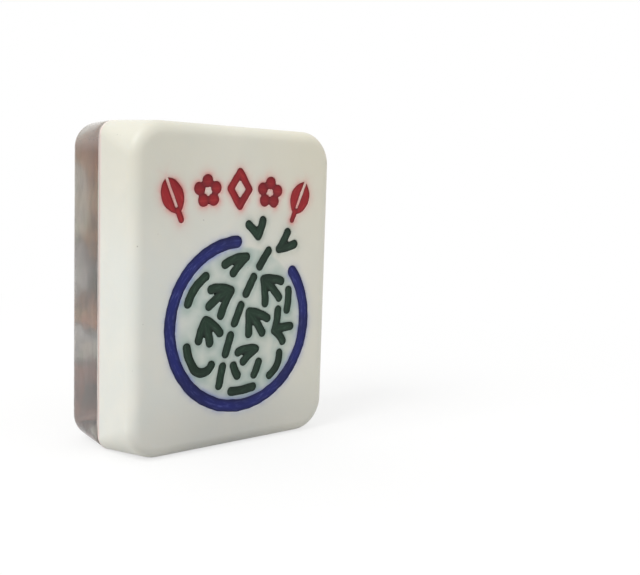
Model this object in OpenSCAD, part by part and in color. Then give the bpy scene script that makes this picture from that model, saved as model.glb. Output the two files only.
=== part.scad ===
// Mahjong tile: a white engraved block with a clear back bonded over a picture film.
// X runs across the tile, Z up its height, and the engraved face looks towards -Y.

/* [Tile] */
// Height of the tile, standing on its short edge
tile_h = 30; // [28:0.5:38]
// Width of the tile
tile_w = 22.7; // [22.2:0.1:28]
// Thickness of the white block
block_t = 5.6; // [3:0.1:8]
// Thickness of the clear back
back_t = 5.7; // [3:0.1:8]
// Radius of the four corners, seen from the front
corner_r = 2.2; // [1.8:0.1:4]
// Rounding of the block's front edges
face_edge_r = 1; // [0.3:0.1:1.4]
// Rounding of the clear back's rear edges
back_edge_r = 1.5; // [0.3:0.1:1.7]
// Rounding of the edges on both sides of the seam
seam_edge_r = 0.1; // [0.1:0.05:0.5]

/* [Layers at the seam] */
// Thickness of the printed picture film
film_t = 0.1; // [0.05:0.01:0.3]
// Thickness of the adhesive on each side of the film
adhesive_t = 0.05; // [0.02:0.01:0.2]
// How far the film and the adhesive stop short of the edges
layer_inset = 0.05; // [0.05:0.05:0.4]

/* [Engraving] */
// Depth of the engraved grooves
groove_d = 0.5; // [0.3:0.05:1]
// How far the dried paint lies below the face
paint_drop = 0.1; // [0.04:0.01:0.2]

/* [Ring] */
// Radius of the ring, at the middle of its groove
ring_r = 7.8; // [7.7:0.05:8.4]
// Width of the ring's groove
ring_groove_w = 1.18; // [0.8:0.02:1.4]
// How far the ring's centre lies right of the tile's centre
ring_x = 0.4; // [-0.8:0.1:0.8]
// How far the ring's centre lies below the tile's centre
ring_low = 3.4; // [3.2:0.1:3.7]
// Where the ring starts, beside its opening
ring_start_deg = 94.5; // [90:0.5:100]
// How far round the ring runs
ring_sweep_deg = 303; // [260:1:304]

/* [Bamboo] */
// Width of the bamboo's grooves
bamboo_groove_w = 0.88; // [0.7:0.02:0.9]

/* [Red ornaments] */
// Width of the lozenge's groove
red_groove_w = 0.76; // [0.5:0.02:0.8]
// Distance from the centres of the outer ornaments to the tile's sides
ornament_margin = 4.25; // [3.8:0.05:4.4]
// How much narrower the lozenge is than the distance between two ornaments
ornament_gap = 0.65; // [0.55:0.05:0.9]
// Height of the middle ornament's centre above the ring's middle line
ornament_lift = 4.85; // [4.6:0.05:5.2]
// Radius of the arch on which the ornaments stand
arch_r = 22; // [18:1:60]
// Height of a red leaf's blade
blade_h = 3.3; // [3:0.1:3.4]
// Width of half a blade, beside its vein
half_blade_w = 1.02; // [0.8:0.02:1.1]
// Width of the vein that stands between the halves
vein_w = 0.28; // [0.2:0.02:0.4]
// Width of a red leaf's stem
stem_w = 0.6; // [0.5:0.02:0.7]
// How far the stem reaches below the blade
stem_out = 0.65; // [0.5:0.05:0.7]
// Height of the lozenge
lozenge_h = 3.9; // [3.2:0.1:4.2]

/* [Hidden] */
$fn = 48;
// Everything that cuts runs past the face by this much
overrun = 0.5;
// Petals on a blossom
petals = 5;
// Radius of one petal, and of the ring of their centres, as shares of the ornaments' pitch
petal_share = 0.169;
petal_ring_share = 0.265;
// How much wider a stroke is at its ends
end_swell_share = 0.02;
// Share of the arch's slope that an ornament leans by
ornament_lean_share = 0.5;
// How far the red leaves lean outwards, in degrees
leaf_lean_deg = 14;
// Share of the stem that runs up between the halves of the blade
stem_in_share = 0.35;
// Places of the five red ornaments on the arch, from left to right
ornament_steps = [-2, -1, 0, 1, 2];

tile_t = block_t + back_t + film_t + 2 * adhesive_t;
face_n = tile_t / 2;
block_n = face_n - block_t;
film_n = block_n - adhesive_t - film_t;
back_n = -tile_t / 2;
paint_t = groove_d - paint_drop;
floor_n = face_n - groove_d;

// The outer ornaments keep their distance from the tile's sides, and the others share the room.
ornament_pitch = (tile_w / 2 - ornament_margin) / 2;
ornament_z = ring_r - ring_low + ornament_lift;
lozenge_w = ornament_pitch - ornament_gap;
petal_r = petal_share * ornament_pitch;
petal_ring_r = petal_ring_share * ornament_pitch;

// The stalk starts at this place and heading, and bends by this much over its length.
// Places and lengths of the bamboo are shares of the ring's radius, headings are degrees.
stalk_shares = [-0.30, -0.72, 80];
stalk_share = 1.92;
stalk_bend_deg = -30;
stalk_joints = 5;
joint_gap_share = 0.045;

// Each leaf group is a list of strokes: place, heading, then length and bend of each stretch.
leaf_shares = [
    [[0.07, 0.81, 176, [[0.33, 36]]], [0.07, 0.81, 216, [[0.27, 16]]]],
    [[-0.15, 0.41, 152, [[0.30, 44]]], [-0.15, 0.41, 192, [[0.36, 32]]], [-0.15, 0.41, 234, [[0.32, 18]]]],
    [[0.34, 0.53, 6, [[0.28, -26]]], [0.34, 0.53, -34, [[0.35, -20]]], [0.34, 0.53, -80, [[0.30, -8]]]],
    [[0.13, 0.14, -6, [[0.30, -26]]], [0.13, 0.14, -48, [[0.34, -10]]], [0.13, 0.14, -92, [[0.27, 4]]]],
    [[0.57, 0.90, 52, [[0.24, 10]]], [0.57, 0.90, 4, [[0.25, 16]]]],
    [[0.24, 1.06, 64, [[0.20, 14]]], [0.24, 1.06, 130, [[0.20, 14]]]],
    [[0.53, -0.12, 70, [[0.26, 18]]], [0.53, -0.12, 16, [[0.26, -18]]], [0.53, -0.12, -34, [[0.20, -26]]]],
    [[0.24, -0.33, 164, [[0.27, 36]]], [0.24, -0.33, 208, [[0.23, 16]]]],
    [[-0.76, 0.29, 72, [[0.40, -40]]]],
    [[-0.51, 0.08, -22, [[0.27, -33]]], [-0.51, 0.08, -72, [[0.28, -10]]], [-0.51, 0.08, -122, [[0.25, 20]]]],
    [[0.74, 0.375, -88, [[0.25, -12]]]]
];

// A young shoot, and the scroll of cloud, the rock, the pebble and the bank at the foot
ground_shares = [
    [[0.225, -0.645, 60, [[0.16, 12]]]],
    [[-0.77, -0.22, -80, [[0.28, 24], [0.30, 120]]]],
    [[0.47, -0.68, 30, [[0.16, 30], [0.16, 34]]]],
    [[-0.095, -0.505, -70, [[0.14, 14]]]],
    [[-0.12, -0.815, -4, [[0.33, 14]]]]
];

leaf_names = [for (i = [1:len(leaf_shares)]) str("leaf_paint_", i)];
ground_names = ["shoot_paint", "cloud_paint", "rock_paint", "pebble_paint", "bank_paint"];
stalk_names = [for (i = [1:stalk_joints]) str("stalk_paint_", i)];
ornament_names = ["red_leaf_paint_left", "blossom_paint_left", "lozenge_paint", "blossom_paint_right",
                  "red_leaf_paint_right"];

// Heading vector of an angle in the plane of the face
function toward(deg) = [cos(deg), sin(deg)];
// Signed radius of a stretch that bends by turn over its length
function bend_r(length, turn) = length * 180 / (PI * turn);
// Where a stretch ends, from its start, heading, length and bend
function stretch_end(at, heading, length, turn) =
    turn == 0 ? at + length * toward(heading)
              : at + bend_r(length, turn) * (toward(heading + 90) - toward(heading + turn + 90));

// Turns from the plane of the face to the standing tile, centred at half its height
module upright() {
    rotate([90, 0, 0]) translate([0, tile_h / 2, 0]) children();
}

// Cross-section from the inside of a plate's rim to its outer edge, both edges rounded
module rim_section(r, t, upper_r, lower_r) {
    difference() {
        square([r, t]);
        translate([r - upper_r, t - upper_r]) difference() {
            square([upper_r + overrun, upper_r + overrun]);
            circle(upper_r);
        }
        translate([r - lower_r, lower_r]) difference() {
            translate([0, -lower_r - overrun]) square([lower_r + overrun, lower_r + overrun]);
            circle(lower_r);
        }
    }
}

// Plate with round corners, made of a core, four straight rims and four turned corners
module plate(w, h, t, r, upper_r, lower_r) {
    inner_w = w - 2 * r;
    inner_h = h - 2 * r;
    translate([-inner_w / 2, -inner_h / 2, 0]) cube([inner_w, inner_h, t]);
    for (half_turn = [0, 180]) rotate([0, 0, half_turn]) {
        translate([inner_w / 2, inner_h / 2, 0]) {
            rotate([90, 0, 0]) linear_extrude(inner_h) rim_section(r, t, upper_r, lower_r);
            rotate_extrude(angle = 90) rim_section(r, t, upper_r, lower_r);
        }
        translate([-inner_w / 2, inner_h / 2, 0]) {
            rotate([90, 0, 90]) linear_extrude(inner_w) rim_section(r, t, upper_r, lower_r);
            rotate([0, 0, 90]) rotate_extrude(angle = 90) rim_section(r, t, upper_r, lower_r);
        }
    }
}

// Round end or joint of a stroke, where the cutter stops and swells the groove a little
module stroke_end(at, w, t) {
    translate(at) cylinder(d = w * (1 + end_swell_share), h = t);
}

// Body of one stretch of a stroke, straight or bent
module stretch(at, heading, length, turn, w, t) {
    if (turn == 0) {
        translate(at) rotate([0, 0, heading]) translate([0, -w / 2, 0]) cube([length, w, t]);
    } else {
        r = abs(bend_r(length, turn));
        translate(at + bend_r(length, turn) * toward(heading + 90))
            rotate([0, 0, turn > 0 ? heading - 90 : heading + 90 + turn])
                rotate_extrude(angle = abs(turn)) translate([r - w / 2, 0]) square([w, t]);
    }
}

// Stroke with round ends; each stretch is a length and a bend, both times unit
module stroke(at, heading, stretches, unit, w, t, i = 0) {
    length = stretches[i][0] * unit;
    turn = stretches[i][1];
    stroke_end(at, w, t);
    stretch(at, heading, length, turn, w, t);
    if (i < len(stretches) - 1) {
        stroke(stretch_end(at, heading, length, turn), heading + turn, stretches, unit, w, t, i + 1);
    } else {
        stroke_end(stretch_end(at, heading, length, turn), w, t);
    }
}

// Strokes of one bamboo group, t thick, about the ring's centre
module bamboo_strokes(strokes, t) {
    translate([ring_x, -ring_low, 0]) for (s = strokes)
        stroke([s[0], s[1]] * ring_r, s[2], s[3], ring_r, bamboo_groove_w, t);
}

// One length of the stalk between two joints
function stalk_stroke(i) =
    let (heading = stalk_shares[2] + stalk_bend_deg * i / stalk_joints,
         at = i == 0 ? [stalk_shares[0], stalk_shares[1]]
                     : stretch_end([stalk_shares[0], stalk_shares[1]], stalk_shares[2],
                                   stalk_share * i / stalk_joints, stalk_bend_deg * i / stalk_joints),
         length = stalk_share / stalk_joints - joint_gap_share - bamboo_groove_w / ring_r)
    [at[0], at[1], heading, [[length, stalk_bend_deg * length / stalk_share]]];

// Ring, open at the upper right
module ring_stroke(t) {
    translate([ring_x, -ring_low, 0])
        stroke(ring_r * toward(ring_start_deg), ring_start_deg + 90,
               [[ring_sweep_deg * PI / 180, ring_sweep_deg]], ring_r, ring_groove_w, t);
}

// Puts an ornament on the arch
module on_arch(step) {
    slope = asin(step * ornament_pitch / arch_r);
    translate([step * ornament_pitch, ornament_z - arch_r * (1 - cos(slope)), 0])
        rotate([0, 0, -slope * ornament_lean_share]) children();
}

// Upright leaf: two halves cut from discs, with the vein between them, joined by the stem
module red_leaf(t) {
    low = (stem_out + stem_w / 2 - blade_h) / 2;
    disc_r = (blade_h * blade_h / 4 + half_blade_w * half_blade_w) / (2 * half_blade_w);
    stroke([0, low - stem_out], 90, [[1 + stem_in_share, 0]], stem_out, stem_w, t);
    for (side = [0, 1]) mirror([side, 0, 0]) intersection() {
        translate([vein_w / 2 + half_blade_w - disc_r, low + blade_h / 2, 0]) cylinder(r = disc_r, h = t);
        translate([vein_w / 2, low - overrun, 0]) cube([half_blade_w + overrun, blade_h + 2 * overrun, t]);
    }
}

// Ring of round petals
module blossom(t) {
    for (i = [0:petals - 1])
        rotate([0, 0, 90 + i * 360 / petals]) translate([petal_ring_r, 0, 0]) cylinder(r = petal_r, h = t);
}

// Four-sided ring standing on its point
module lozenge(t) {
    half_h = (lozenge_h - red_groove_w) / 2;
    half_w = (lozenge_w - red_groove_w) / 2;
    side = norm([half_w, half_h]);
    lean = atan2(half_h, half_w);
    stroke([half_w, 0], 180 - lean, [[1, 0]], side, red_groove_w, t);
    stroke([0, half_h], 180 + lean, [[1, 0]], side, red_groove_w, t);
    stroke([-half_w, 0], -lean, [[1, 0]], side, red_groove_w, t);
    stroke([0, -half_h], lean, [[1, 0]], side, red_groove_w, t);
}

// One red ornament by its place on the arch
module ornament(step, t) {
    on_arch(step) {
        if (abs(step) == 2) rotate([0, 0, -sign(step) * leaf_lean_deg]) red_leaf(t);
        if (abs(step) == 1) blossom(t);
        if (step == 0) lozenge(t);
    }
}

// White block with all its engraved grooves
module face_block() {
    color("ivory") upright() difference() {
        translate([0, 0, block_n]) plate(tile_w, tile_h, block_t, corner_r, face_edge_r, seam_edge_r);
        translate([0, 0, floor_n]) {
            ring_stroke(groove_d + overrun);
            for (step = ornament_steps) ornament(step, groove_d + overrun);
            for (i = [0:stalk_joints - 1]) bamboo_strokes([stalk_stroke(i)], groove_d + overrun);
            for (group = leaf_shares) bamboo_strokes(group, groove_d + overrun);
            for (group = ground_shares) bamboo_strokes(group, groove_d + overrun);
        }
    }
}

// Rectangle with round corners
module round_rectangle(w, h, r) {
    difference() {
        square([w, h], center = true);
        for (side = [0, 1], end = [0, 1])
            mirror([side, 0]) mirror([0, end]) translate([w / 2 - r, h / 2 - r]) difference() {
                square(r + overrun);
                circle(r);
            }
    }
}

// Thin layer inside the seam, from n up
module seam_layer(n, t) {
    upright() translate([0, 0, n]) linear_extrude(t)
        round_rectangle(tile_w - 2 * layer_inset, tile_h - 2 * layer_inset, corner_r - layer_inset);
}

module front_adhesive() {
    color("white", 0.5) seam_layer(block_n - adhesive_t, adhesive_t);
}

module picture_film() {
    color("sandybrown") seam_layer(film_n, film_t);
}

module back_adhesive() {
    color("white", 0.5) seam_layer(film_n - adhesive_t, adhesive_t);
}

// Clear back, rounded more at the rear than at the seam
module clear_back() {
    color("lightgray", 0.5) upright() translate([0, 0, back_n])
        plate(tile_w, tile_h, back_t, corner_r, seam_edge_r, back_edge_r);
}

module ring_paint() {
    color("navy") upright() translate([0, 0, floor_n]) ring_stroke(paint_t);
}

module ornament_paint(step) {
    color("firebrick") upright() translate([0, 0, floor_n]) ornament(step, paint_t);
}

module bamboo_paint(strokes) {
    color("darkslategray") upright() translate([0, 0, floor_n]) bamboo_strokes(strokes, paint_t);
}

face_block();
front_adhesive();
picture_film();
back_adhesive();
clear_back();
ring_paint();
for (i = [0:len(ornament_names) - 1])
    ornament_paint(ornament_steps[i]);
for (i = [0:stalk_joints - 1])
    bamboo_paint([stalk_stroke(i)]);
for (i = [0:len(leaf_names) - 1])
    bamboo_paint(leaf_shares[i]);
for (i = [0:len(ground_names) - 1])
    bamboo_paint(ground_shares[i]);
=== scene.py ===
# Mahjong tile, dressed around its CAD model.
# Shapes are worked out in millimetres, seen from the front: u runs right and v up from the middle of
# the tile, y runs from the engraved face to the clear back. They are placed in metres.
import math

import bpy
import numpy as np
from mathutils import Matrix, Vector


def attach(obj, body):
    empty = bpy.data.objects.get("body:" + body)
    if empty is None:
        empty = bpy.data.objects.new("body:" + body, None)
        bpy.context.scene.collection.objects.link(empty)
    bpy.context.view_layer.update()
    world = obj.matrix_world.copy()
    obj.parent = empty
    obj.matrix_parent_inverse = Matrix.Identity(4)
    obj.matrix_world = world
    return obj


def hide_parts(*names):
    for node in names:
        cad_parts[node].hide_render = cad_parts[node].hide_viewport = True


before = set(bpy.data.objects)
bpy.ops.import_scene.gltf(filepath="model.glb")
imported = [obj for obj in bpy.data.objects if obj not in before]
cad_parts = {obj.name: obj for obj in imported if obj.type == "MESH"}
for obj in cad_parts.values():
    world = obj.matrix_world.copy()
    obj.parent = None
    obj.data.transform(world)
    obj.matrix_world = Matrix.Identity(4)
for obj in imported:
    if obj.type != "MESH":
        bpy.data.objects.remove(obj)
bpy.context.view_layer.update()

scene = bpy.context.scene
scene.view_settings.view_transform = "Standard"
mm = 0.001

tile = {
    "width": 22.7, "height": 30.0, "cornerR": 2.2,
    "faceY": -5.75, "blockBackY": -0.15, "filmFrontY": -0.10, "filmBackY": 0.0, "slabFrontY": 0.05,
    "slabBackY": 5.75, "backEdgeR": 1.5, "seamEdgeR": 0.1, "layerInset": 0.05, "grooveDepth": 0.5,
    "paintDrop": 0.1,
}
print("frame loaded:", len(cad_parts), "nodes")


# Camera: fitted to the outline, the edges and the ring of the tile in the photo. Angles are in radians;
# right, down and far place the tile's middle in its view.
camera = {"focalPx": 909.4, "widePx": 640.0, "sensor": 36.0, "nearClip": 0.001, "farClip": 10.0,
          "turn": 0.733, "dip": 0.111, "roll": 0.033, "right": -11.49, "down": -0.511, "far": 89.296}


def addCamera():
    turn, dip, roll = camera["turn"], camera["dip"], camera["roll"]
    ahead = Vector((math.cos(dip) * math.sin(turn), math.cos(dip) * math.cos(turn), -math.sin(dip)))
    down = Vector((-math.sin(dip) * math.sin(turn), -math.sin(dip) * math.cos(turn), -math.cos(dip)))
    right = Vector((math.cos(turn), -math.sin(turn), 0))
    rightRolled = right * math.cos(roll) - down * math.sin(roll)
    downRolled = right * math.sin(roll) + down * math.cos(roll)
    middle = Vector((0, 0, tile["height"] / 2))
    spot = middle - (rightRolled * camera["right"] + downRolled * camera["down"] + ahead * camera["far"])
    lens = bpy.data.cameras.new("photoCamera")
    lens.sensor_width = camera["sensor"]
    lens.lens = camera["focalPx"] * lens.sensor_width / camera["widePx"]
    lens.clip_start = camera["nearClip"]
    lens.clip_end = camera["farClip"]
    made = bpy.data.objects.new("photoCamera", lens)
    turned = Matrix((rightRolled, -downRolled, -ahead)).transposed().to_4x4()
    turned.translation = spot * mm
    made.matrix_world = turned
    scene.collection.objects.link(made)
    scene.camera = made


addCamera()
print("camera placed")


# One socket of a shader; arithmetic on it adds Math nodes
class Wire:
    def __init__(self, shader, socket):
        self.shader = shader
        self.socket = socket

    def math(self, operation, first, second=0.0):
        return self.shader.node("Math", {"operation": operation}, {0: first, 1: second})

    def __add__(self, other):
        return self.math("ADD", self, other)

    def __sub__(self, other):
        return self.math("SUBTRACT", self, other)

    def __rsub__(self, other):
        return self.math("SUBTRACT", other, self)

    def __mul__(self, other):
        return self.math("MULTIPLY", self, other)

    def __truediv__(self, other):
        return self.math("DIVIDE", self, other)

    __radd__ = __add__
    __rmul__ = __mul__

    def step(self, low, high):  # 0 below low, 1 above high, smooth between
        settings = {"interpolation_type": "SMOOTHSTEP"}
        return self.shader.node("MapRange", settings, {0: self, 1: low, 2: high, 3: 0.0, 4: 1.0})

    def larger(self, other):
        return self.math("MAXIMUM", self, other)


# The nodes of one material, or of the world, and the calls that fill them
class Shader:
    def __init__(self, name, kind="materials"):
        self.owner = getattr(bpy.data, kind).new(name)
        self.owner.use_nodes = True
        self.tree = self.owner.node_tree
        self.tree.nodes.clear()
        self.where = self.node("TexCoord", {}, {}, "Object")  # in metres

    def node(self, kind, settings, inputs, output=0):
        made = self.tree.nodes.new("ShaderNode" + kind)
        for key, value in settings.items():
            setattr(made, key, value)
        for key, value in inputs.items():
            if isinstance(value, Wire):
                self.tree.links.new(value.socket, made.inputs[key])
            else:
                made.inputs[key].default_value = value
        return Wire(self, made.outputs[output]) if len(made.outputs) else None

    def value(self, name):  # attribute of the piece
        return self.node("Attribute", {"attribute_name": name}, {}, "Fac")

    def noise(self, size, detail=3.0, rough=0.5, warp=0.0, stretch=None, where=None):
        # The size is that of one blotch, in metres
        where = where or self.where
        if stretch:
            where = self.node("VectorMath", {"operation": "MULTIPLY"}, {0: where, 1: stretch})
        inputs = {"Vector": where, "Scale": 1.0 / size, "Detail": detail, "Roughness": rough,
                  "Distortion": warp}
        return self.node("TexNoise", {}, inputs, "Fac")

    def mix(self, share, first, second):
        return self.node("Mix", {"data_type": "RGBA"}, {0: share, 6: first, 7: second}, 2)

    def parts(self):  # x, y and z
        outputs = self.node("SeparateXYZ", {}, {0: self.where}).socket.node.outputs
        return [Wire(self, outputs[i]) for i in range(3)]

    def far(self, spot):  # distance from a spot, in metres
        return self.node("VectorMath", {"operation": "DISTANCE"}, {0: self.where, 1: spot}, "Value")

    def lay(self, share, tint):  # lays a tint over the colour so far
        self.colour = self.mix(share, self.colour, tint)

    def seen(self):  # 1 for what the camera sees, mirrored or through plastic too
        outputs = self.node("LightPath", {}, {}).socket.node.outputs
        rays = [Wire(self, outputs[f"Is {kind} Ray"]) for kind in ("Camera", "Glossy", "Transmission")]
        return rays[0].larger(rays[1]).larger(rays[2])

    def surface(self, rough, height=None, depth=0.0, **more):
        # The depth is that of the bumps, in metres for a height of 1
        inputs = {"Base Color": self.colour, "Roughness": rough}
        inputs.update({key.replace("_", " "): value for key, value in more.items()})
        if height:
            bumps = {"Height": height, "Distance": depth, "Strength": 1.0}
            inputs["Normal"] = self.node("Bump", {}, bumps)
        return self.node("BsdfPrincipled", {}, inputs)

    def finish(self, surface, kind="Material"):
        self.node("Output" + kind, {}, {"Surface": surface})
        return self.owner


def tone(red, green, blue):  # a colour as it is read off a screen, 0 to 255
    shares = [level / 255 for level in (red, green, blue)]
    linear = [c / 12.92 if c <= 0.04045 else ((c + 0.055) / 1.055) ** 2.4 for c in shares]
    return (*linear, 1.0)


# Points, faces and point values of one piece, gathered sheet by sheet
class Shell:
    def __init__(self):
        self.points = []
        self.faces = []
        self.smooth = []
        self.values = {}
        self.count = 0

    def add(self, uv, y, **values):
        uv = np.asarray(uv, float)
        start = self.count
        y = np.broadcast_to(np.asarray(y, float), len(uv))
        self.points.append(np.stack([uv[:, 0], y, uv[:, 1] + tile["height"] / 2], 1))
        for name in set(values) | set(self.values):
            rows = self.values.setdefault(name, [np.zeros(start)] if start else [])
            rows.append(np.broadcast_to(np.asarray(values.get(name, 0.0), float), len(uv)))
        self.count += len(uv)
        return start

    def sheet(self, count, used, spots, y, **values):
        # Adds the used ones of a grid's points, and gives each grid point its number or -1
        rows = np.full(count, -1)
        rows[used] = self.add(spots, y, **values) + np.arange(len(used))
        return rows

    def face(self, corners, smooth=True):
        self.faces.append(np.asarray(corners, np.int64))
        self.smooth.append(np.full(len(corners), smooth))

    def strip(self, edges, upper, lower):  # quads below the border edges of a sheet
        a, b = edges[:, 0], edges[:, 1]
        self.face(np.stack([upper[b], upper[a], lower[a], lower[b]], 1))

    def skirt(self, edges, used, upper, rows):  # bands from the edge of a sheet through all the rows
        for spots, y, values in rows:
            lower = self.sheet(len(upper), used, spots, y, **values)
            self.strip(edges, upper, lower)
            upper = lower
        return upper

    def piece(self, name, material, slot, *nodes):
        sizes = np.concatenate([np.full(len(f), f.shape[1]) for f in self.faces])
        corners = np.concatenate([f.ravel() for f in self.faces])
        mesh = bpy.data.meshes.new(name)
        mesh.vertices.add(self.count)
        mesh.vertices.foreach_set("co", (np.concatenate(self.points) * mm).ravel())
        mesh.loops.add(len(corners))
        mesh.loops.foreach_set("vertex_index", corners)
        mesh.polygons.add(len(sizes))
        mesh.polygons.foreach_set("loop_start", np.cumsum(sizes) - sizes)
        mesh.polygons.foreach_set("use_smooth", np.concatenate(self.smooth))
        mesh.update(calc_edges=True)
        for key, rows in self.values.items():
            layer = mesh.attributes.new(key, "FLOAT", "POINT")
            layer.data.foreach_set("value", np.concatenate(rows).astype(np.float32))
        mesh.materials.append(material)
        made = bpy.data.objects.new(name, mesh)
        scene.collection.objects.link(made)
        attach(made, "root")
        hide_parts(*nodes)
        print(name, "made,", int((sizes - 2).sum()), "triangles")


halfTile = np.array([tile["width"], tile["height"]]) / 2


def roundRect(points, inset, cornerR):
    # Distance to the tile's outline, drawn in by inset: past the inner corner it is the straight-line
    # distance to that corner, beside it the larger overhang, in both cases less the radius.
    past = np.abs(points) - (halfTile - cornerR)
    return np.hypot(*np.maximum(past, 0).T) + np.minimum(past.max(1), 0) - (cornerR - inset)


def recornered(points, oldR, newR, inset):
    # Carries points of an outline with corners of oldR to the one with corners of newR, drawn in by
    # inset: the nearest place on the inner rectangle is scaled to the new one, and the way out is kept.
    core = np.clip(points, oldR - halfTile, halfTile - oldR)
    way = points - core
    way /= np.hypot(*way.T)[:, None]
    return core / (halfTile - oldR) * (halfTile - newR) + way * (newR - inset)


def toward(deg):
    return np.array([math.cos(math.radians(deg)), math.sin(math.radians(deg))])


def stretchEnd(at, heading, length, turn):
    if turn == 0:
        return at + length * toward(heading)
    bend = length * 180 / (math.pi * turn)
    return at + bend * (toward(heading + 90) - toward(heading + turn + 90))


def stroke(at, heading, stretches, unit, width):
    # A stroke as the cutter runs: each stretch has a length and a bend
    at = np.array(at, float)
    run = []
    before = 0.0
    for share, turn in stretches:
        length = share * unit
        run.append({"at": at, "heading": heading, "length": length, "turn": turn, "half": width / 2,
                    "before": before})
        at = stretchEnd(at, heading, length, turn)
        heading += turn
        before += length
    return run


def stretchField(points, s):
    # Distance to the middle line of a stretch, how far along it the nearest place is, and how far
    # the point lies left of it. Straight: clip the share of the length. Bent: clip the angle run.
    # Half a blade: the larger of the distance to its disc's centre and the reach of its straight edge.
    ahead, left = toward(s["heading"]), toward(s["heading"] + 90)
    rel = points - s["at"]
    if "edge" in s:
        past = rel @ ahead
        off = np.maximum(np.hypot(*rel.T), s["half"] + s["edge"] - past)
        return off, rel @ left, past
    if s["turn"] == 0:
        along = np.clip(rel @ ahead, 0, s["length"])
        off = np.hypot(*(rel - along[:, None] * ahead).T)
        return off, along + s["before"], rel @ left
    bend = s["length"] * 180 / (math.pi * s["turn"])
    rel = points - (s["at"] + bend * left)
    sign = math.copysign(1, s["turn"])
    sweep = math.radians(abs(s["turn"]))
    start = math.radians(s["heading"] - 90 * sign)
    swing = np.arctan2(rel[:, 1], rel[:, 0]) - start - sign * sweep / 2
    swing = (swing + math.pi) % (2 * math.pi) - math.pi
    run = np.clip(sign * swing + sweep / 2, 0, sweep)
    angle = start + sign * run
    nearest = abs(bend) * np.stack([np.cos(angle), np.sin(angle)], 1)
    off = np.hypot(*(rel - nearest).T)
    side = sign * (abs(bend) - np.hypot(*rel.T))
    return off, run * abs(bend) + s["before"], side


cut = {"stray": 0.035, "waves": ((2.9, 1.3, 0.4), (-1.7, 3.4, 2.1), (5.1, -2.3, 1.2), (3.6, 5.8, 4.0))}


def strayed(points):
    # How far the edge of a cut strays from its line: slow waves over the face
    swings = [np.sin(points @ (x, y) + shift) for x, y, shift in cut["waves"]]
    return cut["stray"] * sum(swings) / len(swings)


def strokesField(points, run):
    # Distance to the edge of the nearest stretch, below zero inside it, and the place along and beside it
    best = np.full(len(points), 1e9)
    along = np.zeros(len(points))
    side = np.zeros(len(points))
    for s in run:
        off, far, left = stretchField(points, s)
        nearer = off - s["half"] < best
        best = np.where(nearer, off - s["half"], best)
        along = np.where(nearer, far, along)
        side = np.where(nearer, left, side)
    return best + strayed(points), along, side


# Grids that fit their outlines: how far each point moves to the middle of its neighbours per round
grid = {"rounds": 6, "borderPull": 0.5, "plainPull": 0.6, "tries": 3, "slopeReach": 0.002}


def slopeOf(field, points):
    # Gradient of a distance field, by the difference of two near readings on each axis
    reach = grid["slopeReach"]
    right = field(points + (reach, 0)) - field(points - (reach, 0))
    up = field(points + (0, reach)) - field(points - (0, reach))
    slope = np.stack([right, up], 1)
    return slope / np.maximum(np.hypot(*slope.T), 1e-9)[:, None]


def ontoOutline(points, outlines):
    # Moves each point down the gradient of its nearest outline, by its distance, a few times
    nearest = np.abs(np.stack([outline(points) for outline in outlines])).argmin(0)
    for k, outline in enumerate(outlines):
        pick = nearest == k
        for _ in range(grid["tries"]):
            points[pick] -= outline(points[pick])[:, None] * slopeOf(outline, points[pick])
    return points


def sidesOf(triangles):
    return np.concatenate([triangles[:, [0, 1]], triangles[:, [1, 2]], triangles[:, [2, 0]]])


def bordersOf(triangles):  # edges that belong to one triangle only, in its direction
    edges = sidesOf(triangles)
    _, back, counts = np.unique(np.sort(edges, 1), axis=0, return_inverse=True, return_counts=True)
    return edges[counts[back.ravel()] == 1]


def evenSteps(marks, steps):
    # Values from mark to mark, each stretch in steps of about its own size
    runs = [np.linspace(a, b, math.ceil((b - a) / step) + 1)[1:]
            for a, b, step in zip(marks, marks[1:], steps)]
    return np.concatenate([[marks[0]], *runs])


def fittedGrid(us, vs, regionOf, outlines):
    # A grid of triangles, each in the region of its middle. The points between two regions are evened
    # out along the border and put on the outline.
    points = np.stack([m.ravel() for m in np.meshgrid(us, vs)], 1)
    wide = len(us)
    row, column = np.meshgrid(np.arange(len(vs) - 1), np.arange(wide - 1), indexing="ij")
    a = row * wide + column
    b, c, d = a + 1, a + wide + 1, a + wide
    odd = ((row + column) % 2 == 1)[..., None]
    first = np.where(odd, np.stack([a, b, c], -1), np.stack([a, b, d], -1))
    second = np.where(odd, np.stack([a, c, d], -1), np.stack([b, c, d], -1))
    triangles = np.concatenate([first.reshape(-1, 3), second.reshape(-1, 3)])
    kind = regionOf(points[triangles].mean(1))
    borders = [np.sort(bordersOf(triangles[kind == k]), 1) for k in np.unique(kind)]
    border = np.unique(np.concatenate(borders), axis=0)
    rim = np.unique(bordersOf(triangles))
    border = border[~np.isin(border, rim).all(1)]
    held = np.unique(border)
    links = np.unique(np.sort(sidesOf(triangles), 1), axis=0)
    free = np.ones(len(points), bool)
    free[held] = free[rim] = False
    for _ in range(grid["rounds"]):
        points[held] += grid["borderPull"] * (middleOf(points, border)[held] - points[held])
        points[held] = ontoOutline(points[held], outlines)
        points[free] += grid["plainPull"] * (middleOf(points, links)[free] - points[free])
    return points, triangles, kind


def gridWithin(lows, highs, step, field):
    # The points and triangles of a grid that lie inside one outline
    us, vs = [evenSteps(ends, [step]) for ends in zip(lows, highs)]
    points, triangles, kind = fittedGrid(us, vs, lambda p: (field(p) < 0) * 1, [field])
    triangles = triangles[kind == 1]
    return points, triangles, np.unique(triangles)


def middleOf(points, links):  # the mean of each point's neighbours
    total = np.zeros_like(points)
    count = np.zeros(len(points))
    for near, far in ((0, 1), (1, 0)):
        for axis in (0, 1):
            total[:, axis] += np.bincount(links[:, near], points[links[:, far], axis], len(points))
        count += np.bincount(links[:, near], minlength=len(points))
    return total / np.maximum(count, 1)[:, None]


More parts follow.
